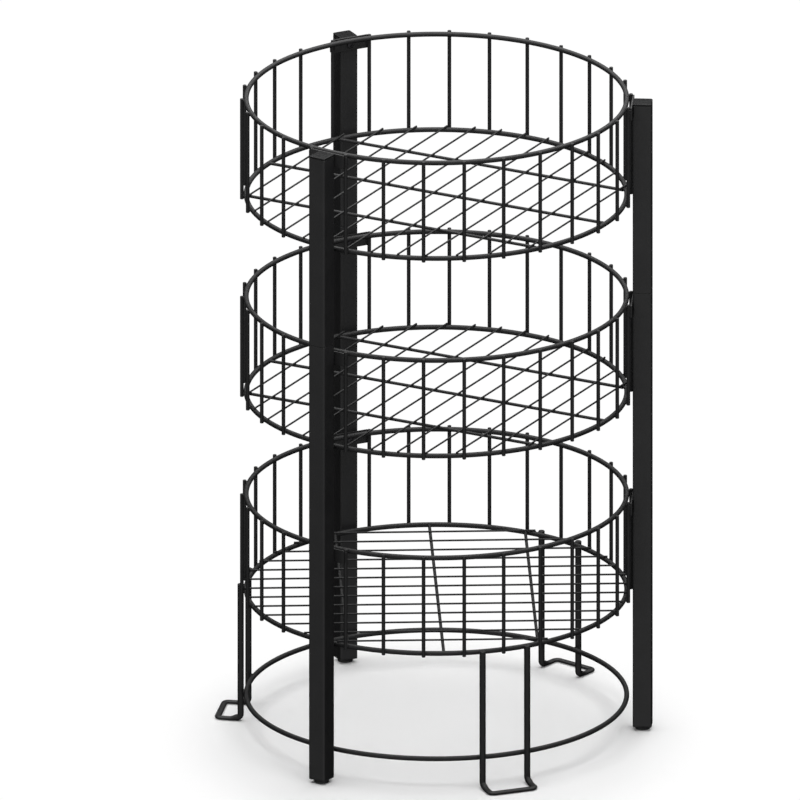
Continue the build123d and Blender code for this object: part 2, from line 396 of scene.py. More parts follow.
def coat(
    name, dark, light, rough, peel=0.10, dust=0.10, scuff=0.05, grain=COAT_PEEL, metallic=0.0, specular=0.5
):
    """Powder coat, paint, plate or moulded plastic.

    It has two tones in soft clouds, a fine grain, upright scuffs, and dust on what faces up.
    """
    material = bpy.data.materials.new(name)
    material.use_nodes = True
    nodes = Nodes(material.node_tree)
    place = nodes.add("ShaderNodeTexCoord").outputs["Object"]
    cloud = nodes.noise(place, scale=28.0, detail=5.0, roughness=0.62)
    fine = nodes.noise(place, scale=420.0, detail=3.0, roughness=0.55)
    peeled = nodes.noise(place, scale=grain, detail=2.0, roughness=0.5)
    toned = nodes.blend(nodes.ramp(cloud, 0.32, 0.68), dark, light)

    stretched = nodes.add("ShaderNodeMapping", {"Vector": place}, Scale=STREAKS)
    streak = nodes.noise(stretched.outputs["Vector"], scale=1.0, detail=3.0, roughness=0.6)
    bare = tuple(min(1.0, c * 4 + 0.04) for c in light)
    rubbed = nodes.blend(nodes.ramp(streak, 0.66, 0.78, to=(0.0, scuff)), toned, bare)

    normal = nodes.add("ShaderNodeNewGeometry").outputs["Normal"]
    upward = nodes.add("ShaderNodeSeparateXYZ", {"Vector": normal}).outputs["Z"]
    facing = nodes.ramp(upward, 0.35, 0.98, kind="SMOOTHSTEP")
    patches = nodes.ramp(fine, 0.35, 0.7, to=(0.0, dust))
    settled = nodes.maths("MULTIPLY", facing, patches)
    dusty = nodes.blend(settled, rubbed, DUST_COLOUR)

    gloss = nodes.ramp(fine, 0.3, 0.7, to=(rough - 0.05, rough + 0.06))
    dulled = nodes.maths("ADD", gloss, settled)
    bump = nodes.add("ShaderNodeBump", {"Height": peeled}, Strength=peel, Distance=BUMP_HEIGHT)
    links = {"Base Color": dusty, "Roughness": dulled, "Normal": bump.outputs["Normal"]}
    shader = nodes.add("ShaderNodeBsdfPrincipled", links)
    shader.inputs["Metallic"].default_value = metallic
    shader.inputs["Specular IOR Level"].default_value = specular
    nodes.add("ShaderNodeOutputMaterial", {"Surface": shader.outputs["BSDF"]})
    return material


# Each has its darker colour, its lighter colour and its roughness.
MATERIALS = {
    "post_steel": coat(
        "powder_coat_posts",
        (0.0150, 0.0150, 0.0156),
        (0.0200, 0.0200, 0.0206),
        0.46,
        peel=0.16,
    ),
    "basket_wire": coat(
        "powder_coat_wire",
        (0.0150, 0.0150, 0.0155),
        (0.0205, 0.0205, 0.0211),
        0.50,
        peel=0.035,
        specular=0.34,
    ),
    # The basket wire's coat painted darker: painted shade on the upright legs, which catch less of the
    # overhead light than the rings do.
    "leg_rod": coat(
        "wire_coat_painted_shade_legs",
        (0.0105, 0.0105, 0.0110),
        (0.0150, 0.0150, 0.0156),
        0.48,
        peel=0.05,
        specular=0.42,
    ),
    "bracket_steel": coat(
        "powder_coat_plates",
        (0.0160, 0.0160, 0.0166),
        (0.0215, 0.0215, 0.0222),
        0.45,
        peel=0.16,
    ),
    "spigot_steel": coat(
        "rubbed_paint",
        (0.020, 0.020, 0.021),
        (0.034, 0.034, 0.035),
        0.40,
        peel=0.08,
        scuff=0.5,
    ),
    "cap_plastic": coat(
        "moulded_caps",
        (0.0115, 0.0115, 0.0119),
        (0.0148, 0.0148, 0.0152),
        0.32,
        peel=0.16,
        dust=0.0,
        grain=MOULD_GRAIN,
        specular=0.12,
    ),
    "foot_plastic": coat(
        "moulded_feet",
        (0.013, 0.013, 0.014),
        (0.019, 0.019, 0.020),
        0.60,
        peel=0.22,
        dust=0.12,
        grain=MOULD_GRAIN,
    ),
    "screw_steel": coat(
        "black_oxide",
        (0.05, 0.05, 0.055),
        (0.075, 0.074, 0.078),
        0.34,
        peel=0.05,
        dust=0.02,
        metallic=0.85,
    ),
    "zinc_steel": coat(
        "zinc_plate",
        (0.46, 0.47, 0.49),
        (0.60, 0.60, 0.58),
        0.30,
        peel=0.05,
        dust=0.02,
        scuff=0.2,
        metallic=1.0,
    ),
}


# ---------------------------------------------------------------- baskets

RING_SIDES = 24
RING_STEPS = 360
BUTT_WELD = 1.4 * MM  # how far the squeezed-out metal of a ring's butt weld spreads each way
BUTT_SQUASH = 0.35 * MM
LOWER_BUTT = math.radians(141.0)  # where the ends of each ring were welded together
UPPER_BUTT = math.radians(153.0)
FLOOR_BUTT = math.radians(150.0)
WIRE_SHAPES = {  # the sides of each kind of wire, and the bevel of its cut ends
    "side_wire": (24, 0.55 * MM),
    "floor_wire": (16, 0.4 * MM),
    "floor_rib": (20, 0.5 * MM),
}
WELD_DEPTH = 1.25 * MM
SIDE_WELD = (3.3 * MM, 2.9 * MM, WELD_DEPTH)  # half the bead along the ring, up the wire and through both
RIB_WELD = (3.3 * MM, 2.7 * MM, 1.5 * MM)
RIB_WELD_DEPTH = 0.95  # its middle is this share of the ring wire's radius in from the ring's line
FLOOR_WELD = (2.1 * MM, 2.0 * MM, WELD_DEPTH)
CROSS_WELD = (1.9 * MM, 2.0 * MM, WELD_DEPTH)


def body_for(tier):
    return "top_tier" if tier == "top" else "frame"


def make_ring(name, ring, body, join_angle):
    """A ring of heavy wire, with the small inward flash of its butt weld."""
    shape = Shape()
    rings = []
    for turn in turns(RING_STEPS):
        side = Side(turn)
        away = math.remainder(turn - join_angle, 2 * math.pi) * ring.radius
        flash = BUTT_SQUASH * math.exp(-((away / BUTT_WELD) ** 2))
        section = []
        for a in turns(RING_SIDES):
            inward = (1 - math.cos(a)) / 2
            r = ring.wire + flash * inward * abs(math.cos(a))
            section.append(side.at(ring.radius + r * math.cos(a), 0, ring.z + r * math.sin(a)))
        rings.append(section)
    shape.loft(rings, loop=True)
    shape.piece(name, body, "basket_wire", [ring.node])


def make_wires(name, node, body, sides, bevel):
    shape = Shape()
    for start, end, radius in straight_wires(node):
        add_rod(shape, start, end, radius, sides, bevel)
    shape.piece(name, body, "basket_wire", [node])


def make_basket(tier):
    body = body_for(tier)
    lower = RingWire(f"{tier}_lower_ring")
    upper = RingWire(f"{tier}_upper_ring")
    make_ring(f"{tier}_lower_ring_wire", lower, body, LOWER_BUTT)
    make_ring(f"{tier}_upper_ring_wire", upper, body, UPPER_BUTT)
    for kind, (sides, bevel) in WIRE_SHAPES.items():
        make_wires(f"{tier}_{kind}_set", f"{tier}_{kind}s", body, sides, bevel)
    make_basket_welds(tier, body, lower, upper)


def make_basket_welds(tier, body, lower, upper):
    """The resistance welds of one basket, wherever two of its wires touch."""
    rng = random.Random(f"{tier} welds")
    shape = Shape()
    ribs = straight_wires(f"{tier}_floor_ribs")
    add_side_welds(shape, straight_wires(f"{tier}_side_wires"), (lower, upper), rng)
    add_rib_welds(shape, ribs, lower, rng)
    add_floor_welds(shape, straight_wires(f"{tier}_floor_wires"), ribs, lower, rng)
    shape.piece(f"{tier}_welds", body, "basket_wire", sharp=80.0)


def add_side_welds(shape, wires, rings, rng):
    """Where the side wires touch the outsides of the rings."""
    for start, _, _ in wires:
        side = Side(math.atan2(start.y, start.x))
        for ring in rings:
            touch = side.at(ring.radius + ring.wire, 0, ring.z)
            add_bead(shape, touch, (side.along, UP, side.out), SIDE_WELD, rng)


def add_rib_welds(shape, ribs, ring, rng):
    """Where the ribs' ends meet the inside of the lower ring."""
    for start, end, _ in ribs:
        for tip in (start, end):
            side = Side(math.atan2(tip.y, tip.x))
            touch = side.at(ring.radius - ring.wire * RIB_WELD_DEPTH, 0, tip.z)
            add_bead(shape, touch, (side.along, UP, side.out), RIB_WELD, rng)


def add_floor_welds(shape, wires, ribs, ring, rng):
    """Where each floor wire lies on the lower ring and on the ribs."""
    for start, end, radius in wires:
        along = (end - start).normalized()
        under = start.z - radius
        for tip, inward in ((start, along), (end, -along)):
            spot = tip + inward * (math.hypot(tip.x, tip.y) - ring.radius)
            side = Side(math.atan2(spot.y, spot.x))
            add_bead(shape, Vector((spot.x, spot.y, under)), (along, side.along, UP), FLOOR_WELD, rng)
        for rib_start, rib_end, _ in ribs:
            rib_along = (rib_end - rib_start).normalized()
            spot = crossing(start, along, rib_start, rib_along)
            on_rib = 0 < (spot - rib_start).dot(rib_along) < (rib_end - rib_start).length
            on_wire = 0 < (spot - start).dot(along) < (end - start).length
            if on_rib and on_wire:
                add_bead(shape, Vector((spot.x, spot.y, under)), (along, rib_along, UP), CROSS_WELD, rng)


def crossing(a, u, b, v):
    """Where two level lines cross, seen from above, at the first line's height."""
    det = u.x * v.y - u.y * v.x
    t = ((b.x - a.x) * v.y - (b.y - a.y) * v.x) / det
    return a + u * t


# ---------------------------------------------------------------- plates and screws


class Fixing:
    """The sizes of a bracket plate and its screw, read at the right-hand post, on the x axis."""

    def __init__(self, tier):
        plate = min(solids(f"{tier}_brackets"), key=lambda g: abs(middle(g).y))
        self.inner = min(p.x for p in plate)
        self.outer = max(p.x for p in plate)
        self.width = 2 * max(p.y for p in plate)
        self.low = min(p.z for p in plate)
        self.high = max(p.z for p in plate)
        screw = min(solids(f"{tier}_screws"), key=lambda g: abs(middle(g).y))
        self.head = min(p.x for p in screw)
        self.tip = max(p.x for p in screw)
        self.screw_z = middle(screw).z
        self.head_radius = max(p.y for p in screw)
        wires = straight_wires(f"{tier}_side_wires")
        self.wire_radius = wires[0][2]
        near = min(wires, key=lambda w: abs(math.atan2(w[0].y, w[0].x)))
        self.wire_along = abs(near[0].y)


PLATE_CORNER = 2.0 * MM
PLATE_EDGE = 0.45 * MM
PLATE_WELD = 1.25 * MM
PLATE_WELD_OFF = PLATE_WELD * 0.42  # how far a weld's middle stands off the plate
PLATE_WELD_ASIDE = 0.78  # and off the middle of its wire, as a share of the wire's radius
PLATE_WELD_LOW = 2.2 * MM  # the welds stop this far from the plate's lower edge
PLATE_WELD_HIGH = 2.6 * MM  # and this far from its upper edge
SCREW_SHANK = 3.0 * MM
PLATE_HOLE = SCREW_SHANK * 1.08
SCREW_POINTS = 48
SOCKET = 4.0 * MM  # across its flats
SOCKET_RIM = SOCKET / 2 * 1.32  # the radius of the flat face round it
SOCKET_DEPTH = 1.8 * MM
DOME_STEPS = 8
DOME_SHARE = 0.82  # of the head's height


def add_plate(shape, side, fixing):
    """A flat plate with rolled-over edges and its screw hole."""
    mid = (fixing.low + fixing.high) / 2
    height = fixing.high - fixing.low

    def outline(out, inset):
        corner = PLATE_CORNER - inset * 0.5
        points = rounded_outline(fixing.width - 2 * inset, height - 2 * inset, corner)
        return [side.at(out, x, mid + y) for x, y in points]

    def hole(out):
        return [side.at(out, x, fixing.screw_z + y) for x, y in round_outline(PLATE_HOLE)]

    e = PLATE_EDGE
    rings = [hole(fixing.inner), outline(fixing.inner, e), outline(fixing.inner + e * 0.3, e * 0.3)]
    rings += [outline(fixing.inner + e, 0), outline(fixing.outer - e, 0)]
    rings += [outline(fixing.outer - e * 0.3, e * 0.3), outline(fixing.outer, e), hole(fixing.outer)]
    shape.loft(rings, loop=True)


def add_plate_welds(shape, side, fixing, rng):
    """Fillet welds down both flanks of the two side wires that cross a plate."""
    out = fixing.inner - PLATE_WELD_OFF
    for wire in (-1, 1):
        for flank in (-1, 1):
            along = wire * fixing.wire_along + flank * fixing.wire_radius * PLATE_WELD_ASIDE
            low = side.at(out, along, fixing.low + PLATE_WELD_LOW)
            high = side.at(out, along, fixing.high - PLATE_WELD_HIGH)
            add_seam(shape, low, high, PLATE_WELD, rng)


def hexagon_reach(turn, across):
    """How far a hexagon reaches from its centre, at a turn from the middle of one flat."""
    within = (turn + math.pi / 6) % (math.pi / 3) - math.pi / 6
    return across / 2 / math.cos(within)


def add_screw(shape, side, fixing, turn):
    """A button-head screw with a hexagonal socket, on the plate's inner face."""
    angles = turns(SCREW_POINTS)

    def ring(out, reaches):
        spots = [(r * math.cos(a + turn), r * math.sin(a + turn)) for a, r in zip(angles, reaches)]
        return [side.at(out, x, fixing.screw_z + y) for x, y in spots]

    def circular(out, radius):
        return ring(out, [radius] * SCREW_POINTS)

    def hexagonal(out, across):
        return ring(out, [hexagon_reach(a, across) for a in angles])

    top, base, wide = fixing.head, fixing.inner, fixing.head_radius
    dome = (base - top) * DOME_SHARE
    rings = [hexagonal(top + SOCKET_DEPTH, SOCKET * 0.96), hexagonal(top + 0.2 * MM, SOCKET)]
    rings += [hexagonal(top + 0.02 * MM, SOCKET * 1.08), circular(top, SOCKET_RIM)]
    for i in range(1, DOME_STEPS + 1):
        a = math.pi / 2 * i / DOME_STEPS
        radius = SOCKET_RIM + (wide - SOCKET_RIM) * math.sin(a)
        rings.append(circular(top + dome * (1 - math.cos(a)), radius))
    rings += [circular(base - 0.12 * MM, wide), circular(base, wide - 0.15 * MM)]
    rings += [circular(base, SCREW_SHANK), circular(fixing.tip - 0.6 * MM, SCREW_SHANK)]
    rings.append(circular(fixing.tip, SCREW_SHANK * 0.78))
    shape.loft(rings)


def make_fixings(tier):
    body = body_for(tier)
    fixing = Fixing(tier)
    rng = random.Random(f"{tier} fixings")
    plates, welds, screws = Shape(), Shape(), Shape()
    for name in SIDES:
        side = Side(angle_of(f"lower_post_{name}"))
        add_plate(plates, side, fixing)
        add_plate_welds(welds, side, fixing, rng)
        add_screw(screws, side, fixing, rng.uniform(0, math.pi / 3))
    plates.piece(f"{tier}_bracket_plates", body, "bracket_steel", [f"{tier}_brackets"])
    welds.piece(f"{tier}_bracket_welds", body, "basket_wire", sharp=80.0)
    screws.piece(f"{tier}_button_screws", body, "screw_steel", [f"{tier}_screws"])
    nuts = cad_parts[f"{tier}_rivet_nuts"]
    nuts.data.materials.clear()
    nuts.data.materials.append(MATERIALS["zinc_steel"])


# ---------------------------------------------------------------- posts, caps and feet

TUBE_WALL = 2.0 * MM
TUBE_CORNER = 3.0 * MM
BORE_CORNER = TUBE_CORNER - TUBE_WALL
TUBE_DEBURR = 1.0 * MM
CLOSE_FIT = 0.02 * MM  # what is left between close-fitting parts, so that no two faces coincide
SPIGOT_PLAY = 0.2 * MM
SPIGOT_LEAD_IN = 2.0 * MM


class Post:
    """A post's line and width, measured on its CAD nodes."""

    def __init__(self, name):
        low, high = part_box("lower_post_right")
        self.name = name
        self.side = Side(angle_of(f"lower_post_{name}"))
        self.width = high.y - low.y
        self.out = (low.x + high.x) / 2
        self.bore = self.width - 2 * TUBE_WALL

    def at(self, x, y, z):
        """A point off the post's line, x outwards from the rack and y across."""
        return self.side.at(self.out + x, y, z)

    def squares(self, rows):
        """Level rounded squares about the post's line, one for each (z, width, corner)."""
        return [[self.at(x, y, z) for x, y in rounded_outline(w, w, corner)] for z, w, corner in rows]

    def holes(self, rows):
        """Level circles that loft to the rounded squares, one for each (z, radius)."""
        return [[self.at(x, y, z) for x, y in round_outline(radius)] for z, radius in rows]

    def ring(self, z, radii):
        """A level ring with these radii at even turns about the post's line."""
        return [self.at(r * math.cos(a), r * math.sin(a), z) for a, r in zip(turns(len(radii)), radii)]

    def circles(self, rows, points):
        """Level circles, one for each (z, radius)."""
        return [self.ring(z, [radius] * points) for z, radius in rows]


def make_post(name):
    post = Post(name)
    for part, body in (("lower_post", "frame"), ("upper_post", "top_tier")):
        low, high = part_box(f"{part}_{name}")
        shape = Shape()
        add_tube(shape, post, low.z, high.z)
        shape.piece(f"{part}_tube_{name}", body, "post_steel", [f"{part}_{name}"], sharp=25.0)
    make_spigot(post)
    make_cap(post)
    make_insert(post)
    make_stud(post)
    make_pad(post)


def add_tube(shape, post, low, high):
    """A hollow square tube with deburred ends."""
    e = TUBE_DEBURR
    wide, bore = post.width, post.bore
    below = [
        (low + e * 0.5, bore, BORE_CORNER),
        (low, bore + e, BORE_CORNER),
        (low, wide - 2 * e, TUBE_CORNER - e * 0.5),
        (low + e * 0.3, wide - e * 0.6, TUBE_CORNER),
        (low + e, wide, TUBE_CORNER),
    ]
    above = [(low + high - z, width, corner) for z, width, corner in reversed(below)]
    shape.loft(post.squares(below + above), loop=True)


def make_spigot(post):
    """The hollow plug that joins the two sections: tight in the lower one, tapered in the upper one."""
    node = f"post_spigot_{post.name}"
    low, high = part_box(node)
    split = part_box(f"upper_post_{post.name}")[0].z
    tight = post.bore - CLOSE_FIT
    slim = post.bore - 2 * SPIGOT_PLAY
    hollow = post.bore - 2 * TUBE_WALL
    tip = SPIGOT_LEAD_IN
    rows = (
        (low.z, hollow),
        (low.z, post.bore - 0.6 * MM),
        (low.z + 0.4 * MM, tight),
        (split, tight),
        (split + 0.3 * MM, slim),
        (high.z - tip, slim),
        (high.z - tip * 0.3, slim - tip * 0.5),
        (high.z, slim - tip),
        (high.z, hollow),
    )
    shape = Shape()
    shape.loft(post.squares((z, width, BORE_CORNER) for z, width in rows), loop=True)
    shape.piece(f"spigot_tube_{post.name}", "frame", "spigot_steel", [node], sharp=25.0)


CAP_LINE = 0.45 * MM  # the height of the shadow line under the head
CAP_SOFT = 1.1 * MM  # how far the head's upper edge is rounded
CAP_SOFT_STEPS = 6
CAP_CROWN = 0.12 * MM
STUB_WALL = 2.2 * MM
STUB_NOTCH = 7.75 * MM  # half the width of the notch in one of its walls
STUB_LEAD_IN = 2.0 * MM
STUB_TAPER = 0.94


def make_cap(post):
    """A push-in cap: a low cushion of a head over a thin shadow line, and a notched stub."""
    node = f"post_cap_{post.name}"
    low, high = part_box(node)
    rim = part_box(f"upper_post_{post.name}")[1].z
    shape = Shape()
    shape.loft(cap_head(post, rim, high.z))
    shape.loft(cap_stub(post, low.z, rim))
    shape.piece(f"cap_moulding_{post.name}", "top_tier", "cap_plastic", [node], sharp=40.0)


def cap_head(post, rim, top):
    wide = post.width
    rows = [
        (rim, wide - 3.2 * MM, TUBE_CORNER * 0.6),
        (rim + CAP_LINE, wide - 1.4 * MM, TUBE_CORNER * 0.8),
        (rim + CAP_LINE + 0.05 * MM, wide - 0.3 * MM, TUBE_CORNER),
        (rim + CAP_LINE + 0.3 * MM, wide, TUBE_CORNER),
    ]
    for i in range(CAP_SOFT_STEPS + 1):
        a = math.pi / 2 * i / CAP_SOFT_STEPS
        z = top - CAP_CROWN - CAP_SOFT * (1 - math.sin(a))
        rows.append((z, wide - 2 * CAP_SOFT * (1 - math.cos(a)), TUBE_CORNER))
    rows += [(top - CAP_CROWN / 2, wide * 0.7, TUBE_CORNER), (top, wide * 0.35, TUBE_CORNER)]
    return post.squares(rows)


def cap_stub(post, low, rim):
    """A square wall with a notch. Its outline goes round the outside and back round the inside."""
    outer, inner = post.bore / 2, post.bore / 2 - STUB_WALL
    outline = [(-outer, STUB_NOTCH), (-outer, outer), (outer, outer), (outer, -outer), (-outer, -outer)]
    outline += [(-outer, -STUB_NOTCH), (-inner, -STUB_NOTCH)]
    outline += [(-inner, -inner), (inner, -inner), (inner, inner), (-inner, inner), (-inner, STUB_NOTCH)]
    levels = ((low, STUB_TAPER), (low + STUB_LEAD_IN, 1.0), (rim + 0.01 * MM, 1.0))
    return [[post.at(x * share, y * share, z) for x, y in outline] for z, share in levels]


def stud_radius(post):
    """The stud's thread radius, from the top of its CAD node."""
    points = [v.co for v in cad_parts[f"foot_stud_{post.name}"].data.vertices]
    top = max(p.z for p in points)
    centre = post.at(0, 0, 0)
    return max(math.hypot(p.x - centre.x, p.y - centre.y) for p in points if p.z > top - AT_THE_TOP)


RIB_HEIGHT = 1.2 * MM
RIB_DEPTH = 0.6 * MM
RIB_SLOPE = 0.4 * MM
GROOVE_HEIGHT = 1.6 * MM


def make_insert(post):
    """The threaded plug in the tube's end: a soft-edged rim, a ribbed body and a hole for the stud."""
    node = f"foot_insert_{post.name}"
    low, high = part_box(node)
    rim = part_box(f"lower_post_{post.name}")[0].z
    wide, bore = post.width, post.bore
    rib, groove = bore - CLOSE_FIT, bore - 2 * RIB_DEPTH
    hole = stud_radius(post) + CLOSE_FIT
    rows = [
        (low.z, wide - 1.2 * MM, TUBE_CORNER),
        (low.z + 0.2 * MM, wide - 0.3 * MM, TUBE_CORNER),
        (low.z + 0.5 * MM, wide, TUBE_CORNER),
        (rim - 0.25 * MM, wide, TUBE_CORNER),
        (rim - 0.02 * MM, wide - 0.8 * MM, TUBE_CORNER),
        (rim, bore, BORE_CORNER),
    ]
    z = rim + 1 * MM
    while z < high.z - 3 * MM:
        slope = z + RIB_HEIGHT
        rows += [(z, rib, BORE_CORNER), (slope, rib, BORE_CORNER)]
        rows.append((slope + RIB_SLOPE, groove, BORE_CORNER))
        rows.append((slope + RIB_SLOPE + GROOVE_HEIGHT, groove, BORE_CORNER))
        z += RIB_HEIGHT + 2 * RIB_SLOPE + GROOVE_HEIGHT
    rows.append((high.z, bore - 2 * MM, BORE_CORNER))
    rings = post.holes(((high.z, hole), (low.z + 0.6 * MM, hole), (low.z, hole + 0.6 * MM)))
    shape = Shape()
    shape.loft(rings + post.squares(rows), loop=True)
    shape.piece(f"insert_moulding_{post.name}", "frame", "foot_plastic", [node], sharp=40.0)


HEAD_TOP = 4.0 * MM  # how high the stud's flat head stands above the floor
HEAD_BEVEL = 0.4 * MM
THREAD_PITCH = 1.25 * MM
THREAD_DEPTH = 0.62 * MM
THREAD_POINTS = 40
THREAD_STEPS = 8  # per turn
THREAD_FLANK = 1.35  # steep enough to leave the crests flat
THREAD_ROOT = 0.1  # taken off, which leaves the roots flat
STUD_END = 1.4  # how many thread depths the stud's top end is slimmer than its crests


def make_stud(post):
    """An M8 stud with its thread cut as a real helix, on a flat head."""
    node = f"foot_stud_{post.name}"
    low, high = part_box(node)
    major = stud_radius(post)
    head = (high.x - low.x) / 2
    rows = [(low.z, head - HEAD_BEVEL), (low.z + HEAD_BEVEL, head), (HEAD_TOP - HEAD_BEVEL, head)]
    rows += [(HEAD_TOP, head - HEAD_BEVEL), (HEAD_TOP, major - THREAD_DEPTH)]
    rings = post.circles(rows, THREAD_POINTS)
    step = THREAD_PITCH / THREAD_STEPS
    count = int((high.z - HEAD_TOP) / step)
    for i in range(1, count):
        z = HEAD_TOP + i * step
        ease = min(1.0, i / THREAD_STEPS, (count - i) / THREAD_STEPS)
        radii = [major - THREAD_DEPTH * (1 - thread_crest(z, a) * ease) for a in turns(THREAD_POINTS)]
        rings.append(post.ring(z, radii))
    rings += post.circles([(high.z, major - THREAD_DEPTH * STUD_END)], THREAD_POINTS)
    shape = Shape()
    shape.loft(rings)
    name, body = f"stud_thread_{post.name}", f"stud_{post.name}"
    shape.piece(name, body, "zinc_steel", [node], sharp=50.0)


def thread_crest(z, turn):
    """How far up the thread's flank a point lies: 0 at the root and 1 at the crest."""
    phase = (z / THREAD_PITCH - turn / (2 * math.pi)) % 1
    return min(1.0, max(0.0, THREAD_FLANK * (1 - abs(2 * phase - 1)) - THREAD_ROOT))


PAD_POINTS = 96
PAD_FLUTES = 24
PAD_FLUTE_DEPTH = 0.35 * MM
PAD_POCKET = 6.55 * MM  # the radius of the pocket round the stud's head
PAD_POCKET_FLOOR = 1.45 * MM
PAD_POCKET_TOP = 4.05 * MM
PAD_MIDDLE = 0.4 * MM  # the radius at which its flat faces close


def make_pad(post):
    """A round moulded pad, fluted round its rim for turning by hand."""
    node = f"foot_pad_{post.name}"
    low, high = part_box(node)
    wide = (high.y - low.y) / 2
    hole = stud_radius(post) + 0.05 * MM
    base, top = low.z, high.z
    pocket = (
        (base + PAD_POCKET_FLOOR, PAD_MIDDLE),
        (base + PAD_POCKET_FLOOR, PAD_POCKET),
        (PAD_POCKET_TOP, PAD_POCKET),
        (PAD_POCKET_TOP, hole),
        (top - 0.3 * MM, hole),
        (top, hole + 0.3 * MM),
    )
    outside = (  # each with its height, its radius and how deep its flutes are
        (top, wide - 3.0 * MM, 0),
        (top - 0.25 * MM, wide - 2.5 * MM, 0),
        (top - 2.6 * MM, wide - 0.3 * MM, PAD_FLUTE_DEPTH * 0.3),
        (top - 3.1 * MM, wide, PAD_FLUTE_DEPTH),
        (base + 0.7 * MM, wide, PAD_FLUTE_DEPTH),
        (base + 0.2 * MM, wide - 0.25 * MM, PAD_FLUTE_DEPTH * 0.5),
        (base, wide - 0.8 * MM, 0),
        (base, wide - 4.5 * MM, 0),
        (base + 0.4 * MM, wide - 5.0 * MM, 0),
        (base + 0.4 * MM, PAD_MIDDLE, 0),
    )
    rings = post.circles(pocket, PAD_POINTS)
    for z, radius, depth in outside:
        radii = [radius - depth * (0.5 - 0.5 * math.cos(PAD_FLUTES * a)) for a in turns(PAD_POINTS)]
        rings.append(post.ring(z, radii))
    shape = Shape()
    shape.loft(rings)
    name, body = f"pad_moulding_{post.name}", f"pad_{post.name}"
    shape.piece(name, body, "foot_plastic", [node], sharp=40.0)


# ---------------------------------------------------------------- legs and floor ring

LEG_RADIUS = 5.0 * MM
LEG_WIDTH = 75.0 * MM
LEG_REACH = 37.5 * MM
LEG_KNEE = 6.5 * MM
LEG_ROUND_END = 8.0 * MM  # how far past the uprights' centreline the rod stays round
LEG_FLAT_START = 15.0 * MM  # and where it has its pressed section
LEG_STEP = 3.5 * MM
LOOP_HEIGHT = 6.0 * MM
LOOP_CORNER = 7.0 * MM
LEG_WELD = (2.4 * MM, 3.4 * MM, 2.2 * MM)
LEG_WELD_ASIDE = 2.6 * MM


def make_legs(rings):
    """The three legs, and their welds to the rings they run up."""
    rng = random.Random("leg welds")
    welds = Shape()
    for name in LEGS:
        node = f"leg_{name}"
        low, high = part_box(node)
        ends = [v.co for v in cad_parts[node].data.vertices if v.co.z > high.z - AT_THE_TOP]
        centre = middle(ends)
        side = Side(math.atan2(centre.y, centre.x))
        inner = math.hypot(centre.x, centre.y)
        shape = Shape()
        add_swept(shape, leg_path(side, inner, low.z + LEG_RADIUS, high.z), LEG_RADIUS)
        press_flat(shape, side, inner)
        # The leg rods wear the darker copy of the wire coat, which is painted shade.
        shape.piece(f"leg_rod_{name}", "frame", "basket_wire", [node], look="leg_rod")
        add_leg_welds(welds, side, inner, rings, rng)
    # The leg welds wear the same darker copy of the wire coat, which is painted shade.
    welds.piece("leg_welds", "frame", "basket_wire", sharp=80.0, look="leg_rod")


def leg_path(side, inner, floor, top):
    """The rod's centreline: down one upright, round the loop and up the other."""
    half = LEG_WIDTH / 2
    outer = inner + LEG_REACH
    corners = [side.at(inner, -half, top), side.at(inner, -half, floor), side.at(outer, -half, floor)]
    corners += [side.at(outer, half, floor), side.at(inner, half, floor), side.at(inner, half, top)]
    path = rounded_bend(corners, (LEG_KNEE, LOOP_CORNER, LOOP_CORNER, LEG_KNEE))
    return split_runs(path, LEG_STEP)


def press_flat(shape, side, inner):
    """Lowers the rod, from its full height at the knees to the loop's."""
    squeeze = 1 - LOOP_HEIGHT / (2 * LEG_RADIUS)
    for point in shape.points:
        past = point.dot(side.out) - inner - LEG_ROUND_END
        share = min(1.0, max(0.0, past / (LEG_FLAT_START - LEG_ROUND_END)))
        point.z *= 1 - squeeze * share


def add_leg_welds(shape, side, inner, rings, rng):
    """A bead down each side of every touch between a leg's uprights and the rings."""
    for end in (-1, 1):
        upright = side.at(inner, end * LEG_WIDTH / 2, 0)
        here = Side(math.atan2(upright.y, upright.x))
        for ring in rings:
            for flank in (-1, 1):
                spot = here.at(ring.radius + ring.wire, flank * LEG_WELD_ASIDE, ring.z)
                axes = (here.along, UP, here.out)
                add_bead(shape, spot, axes, LEG_WELD, rng, columns=16, rows=10, rough=0.16)


# ---------------------------------------------------------------- stage, camera and lights

CAMERA_AZIMUTH = math.radians(3.8)
CAMERA_ELEVATION = math.radians(19.79)
CAMERA_WIDTH = 1.2615  # metres across the view
CAMERA_AIM = Vector((-0.0575, 0.5098))  # how far right of and above the rack's foot it looks
CAMERA_DISTANCE = 4.0
CAMERA_SIGHT = 100.0


def make_camera():
    data = bpy.data.cameras.new("camera")
    data.type = "ORTHO"
    data.ortho_scale = CAMERA_WIDTH
    data.clip_end = CAMERA_SIGHT
    camera = bpy.data.objects.new("camera", data)
    bpy.context.scene.collection.objects.link(camera)
    bpy.context.scene.camera = camera
    a, e = CAMERA_AZIMUTH, CAMERA_ELEVATION
    right = Vector((math.cos(a), math.sin(a), 0))
    back = Vector((math.sin(a) * math.cos(e), -math.cos(a) * math.cos(e), math.sin(e)))
    up = back.cross(right)
    camera.matrix_world = Matrix((right, up, back)).transposed().to_4x4()
    camera.location = right * CAMERA_AIM.x + up * CAMERA_AIM.y + back * CAMERA_DISTANCE


FLOOR_REACH = 40.0
FLOOR_DROP = 0.2 * MM  # the floor lies this far below the feet
FLOOR_CENTRE = Vector((0.0, -0.07, 0))  # the middle of the part of the floor that only reflects
FLOOR_STRETCH = 0.85  # that part's width over its depth
FLOOR_LIT = 0.31  # half its width
FLOOR_BRIGHT = 0.46  # from here on the floor only glows, so that it meets the white backdrop
FLOOR_GLOW = 1.01
FLOOR_WHITE = 0.92


